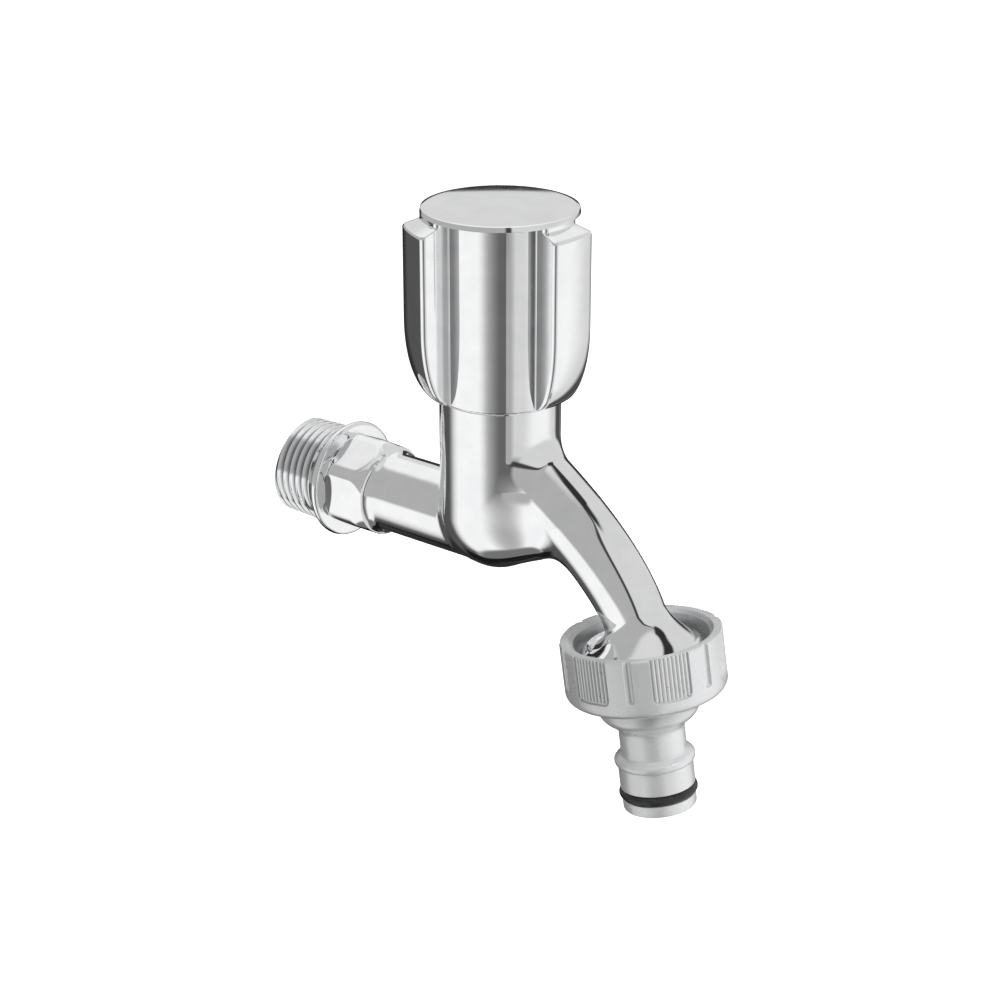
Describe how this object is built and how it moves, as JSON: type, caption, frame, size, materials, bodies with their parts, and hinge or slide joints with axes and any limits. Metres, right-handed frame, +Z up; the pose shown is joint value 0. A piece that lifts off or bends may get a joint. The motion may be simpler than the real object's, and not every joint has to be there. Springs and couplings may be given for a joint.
{
  "type": "bib tap",
  "caption": "Wall-mounted chrome bib tap with a lobed quarter-turn handle, a down-turned spout and a threaded nut holding a plastic hose connector.",
  "frame": {"origin": "centre of the inlet flange's wall face, on the inlet thread's axis", "axes": "+Y along the inlet axis into the wall, +Z up along the handle's axis, +X to the right for a person facing the wall"},
  "size_m": [0.0364, 0.1067, 0.1172],
  "materials": {
    "chrome_plating": "polished",
    "brass": "machined",
    "ceramic": "lapped",
    "black_rubber": "matte",
    "steel": "plain",
    "grey_plastic": "satin",
    "white_plastic": "satin"
  },
  "bodies": {
    "tap": {"tap_body": "chrome_plating", "headwork_housing": "brass", "headwork_gasket": "black_rubber", "seat_seal": "black_rubber", "fixed_disc": "ceramic", "thrust_washer": "white_plastic"},
    "handle": {"handle": "chrome_plating", "handle_insert": "brass", "screw_washer": "steel", "handle_screw": "steel", "index_cap": "chrome_plating", "spindle": "brass", "spindle_o_ring_lower": "black_rubber", "spindle_o_ring_upper": "black_rubber", "spindle_retaining_ring": "steel", "moving_disc": "ceramic"},
    "hose_tail": {"hose_tail": "grey_plastic", "hose_tail_o_ring": "black_rubber", "outlet_washer": "black_rubber"},
    "union_nut": {"union_nut": "grey_plastic"}
  },
  "joints": [
    {"name": "handle_turn", "type": "hinge", "parent": "tap", "child": "handle", "pos_m": [0, -0.0412, 0], "axis": [0, 0, 1], "range_deg": [0, 90]},
    {"name": "hose_tail_slide", "type": "slide", "parent": "tap", "child": "hose_tail", "axis": [0, -0.1616, -0.9869], "range_m": [0, 0.00325]},
    {"name": "union_nut_turn", "type": "hinge", "parent": "hose_tail", "child": "union_nut", "pos_m": [0, -0.0776, -0.0201], "axis": [0, -0.1616, -0.9869], "range_deg": [0, 630]}
  ],
  "couplings": [
    {"joint": "hose_tail_slide", "follows": "union_nut_turn", "m_per_rad": 0.00028871}
  ]
}
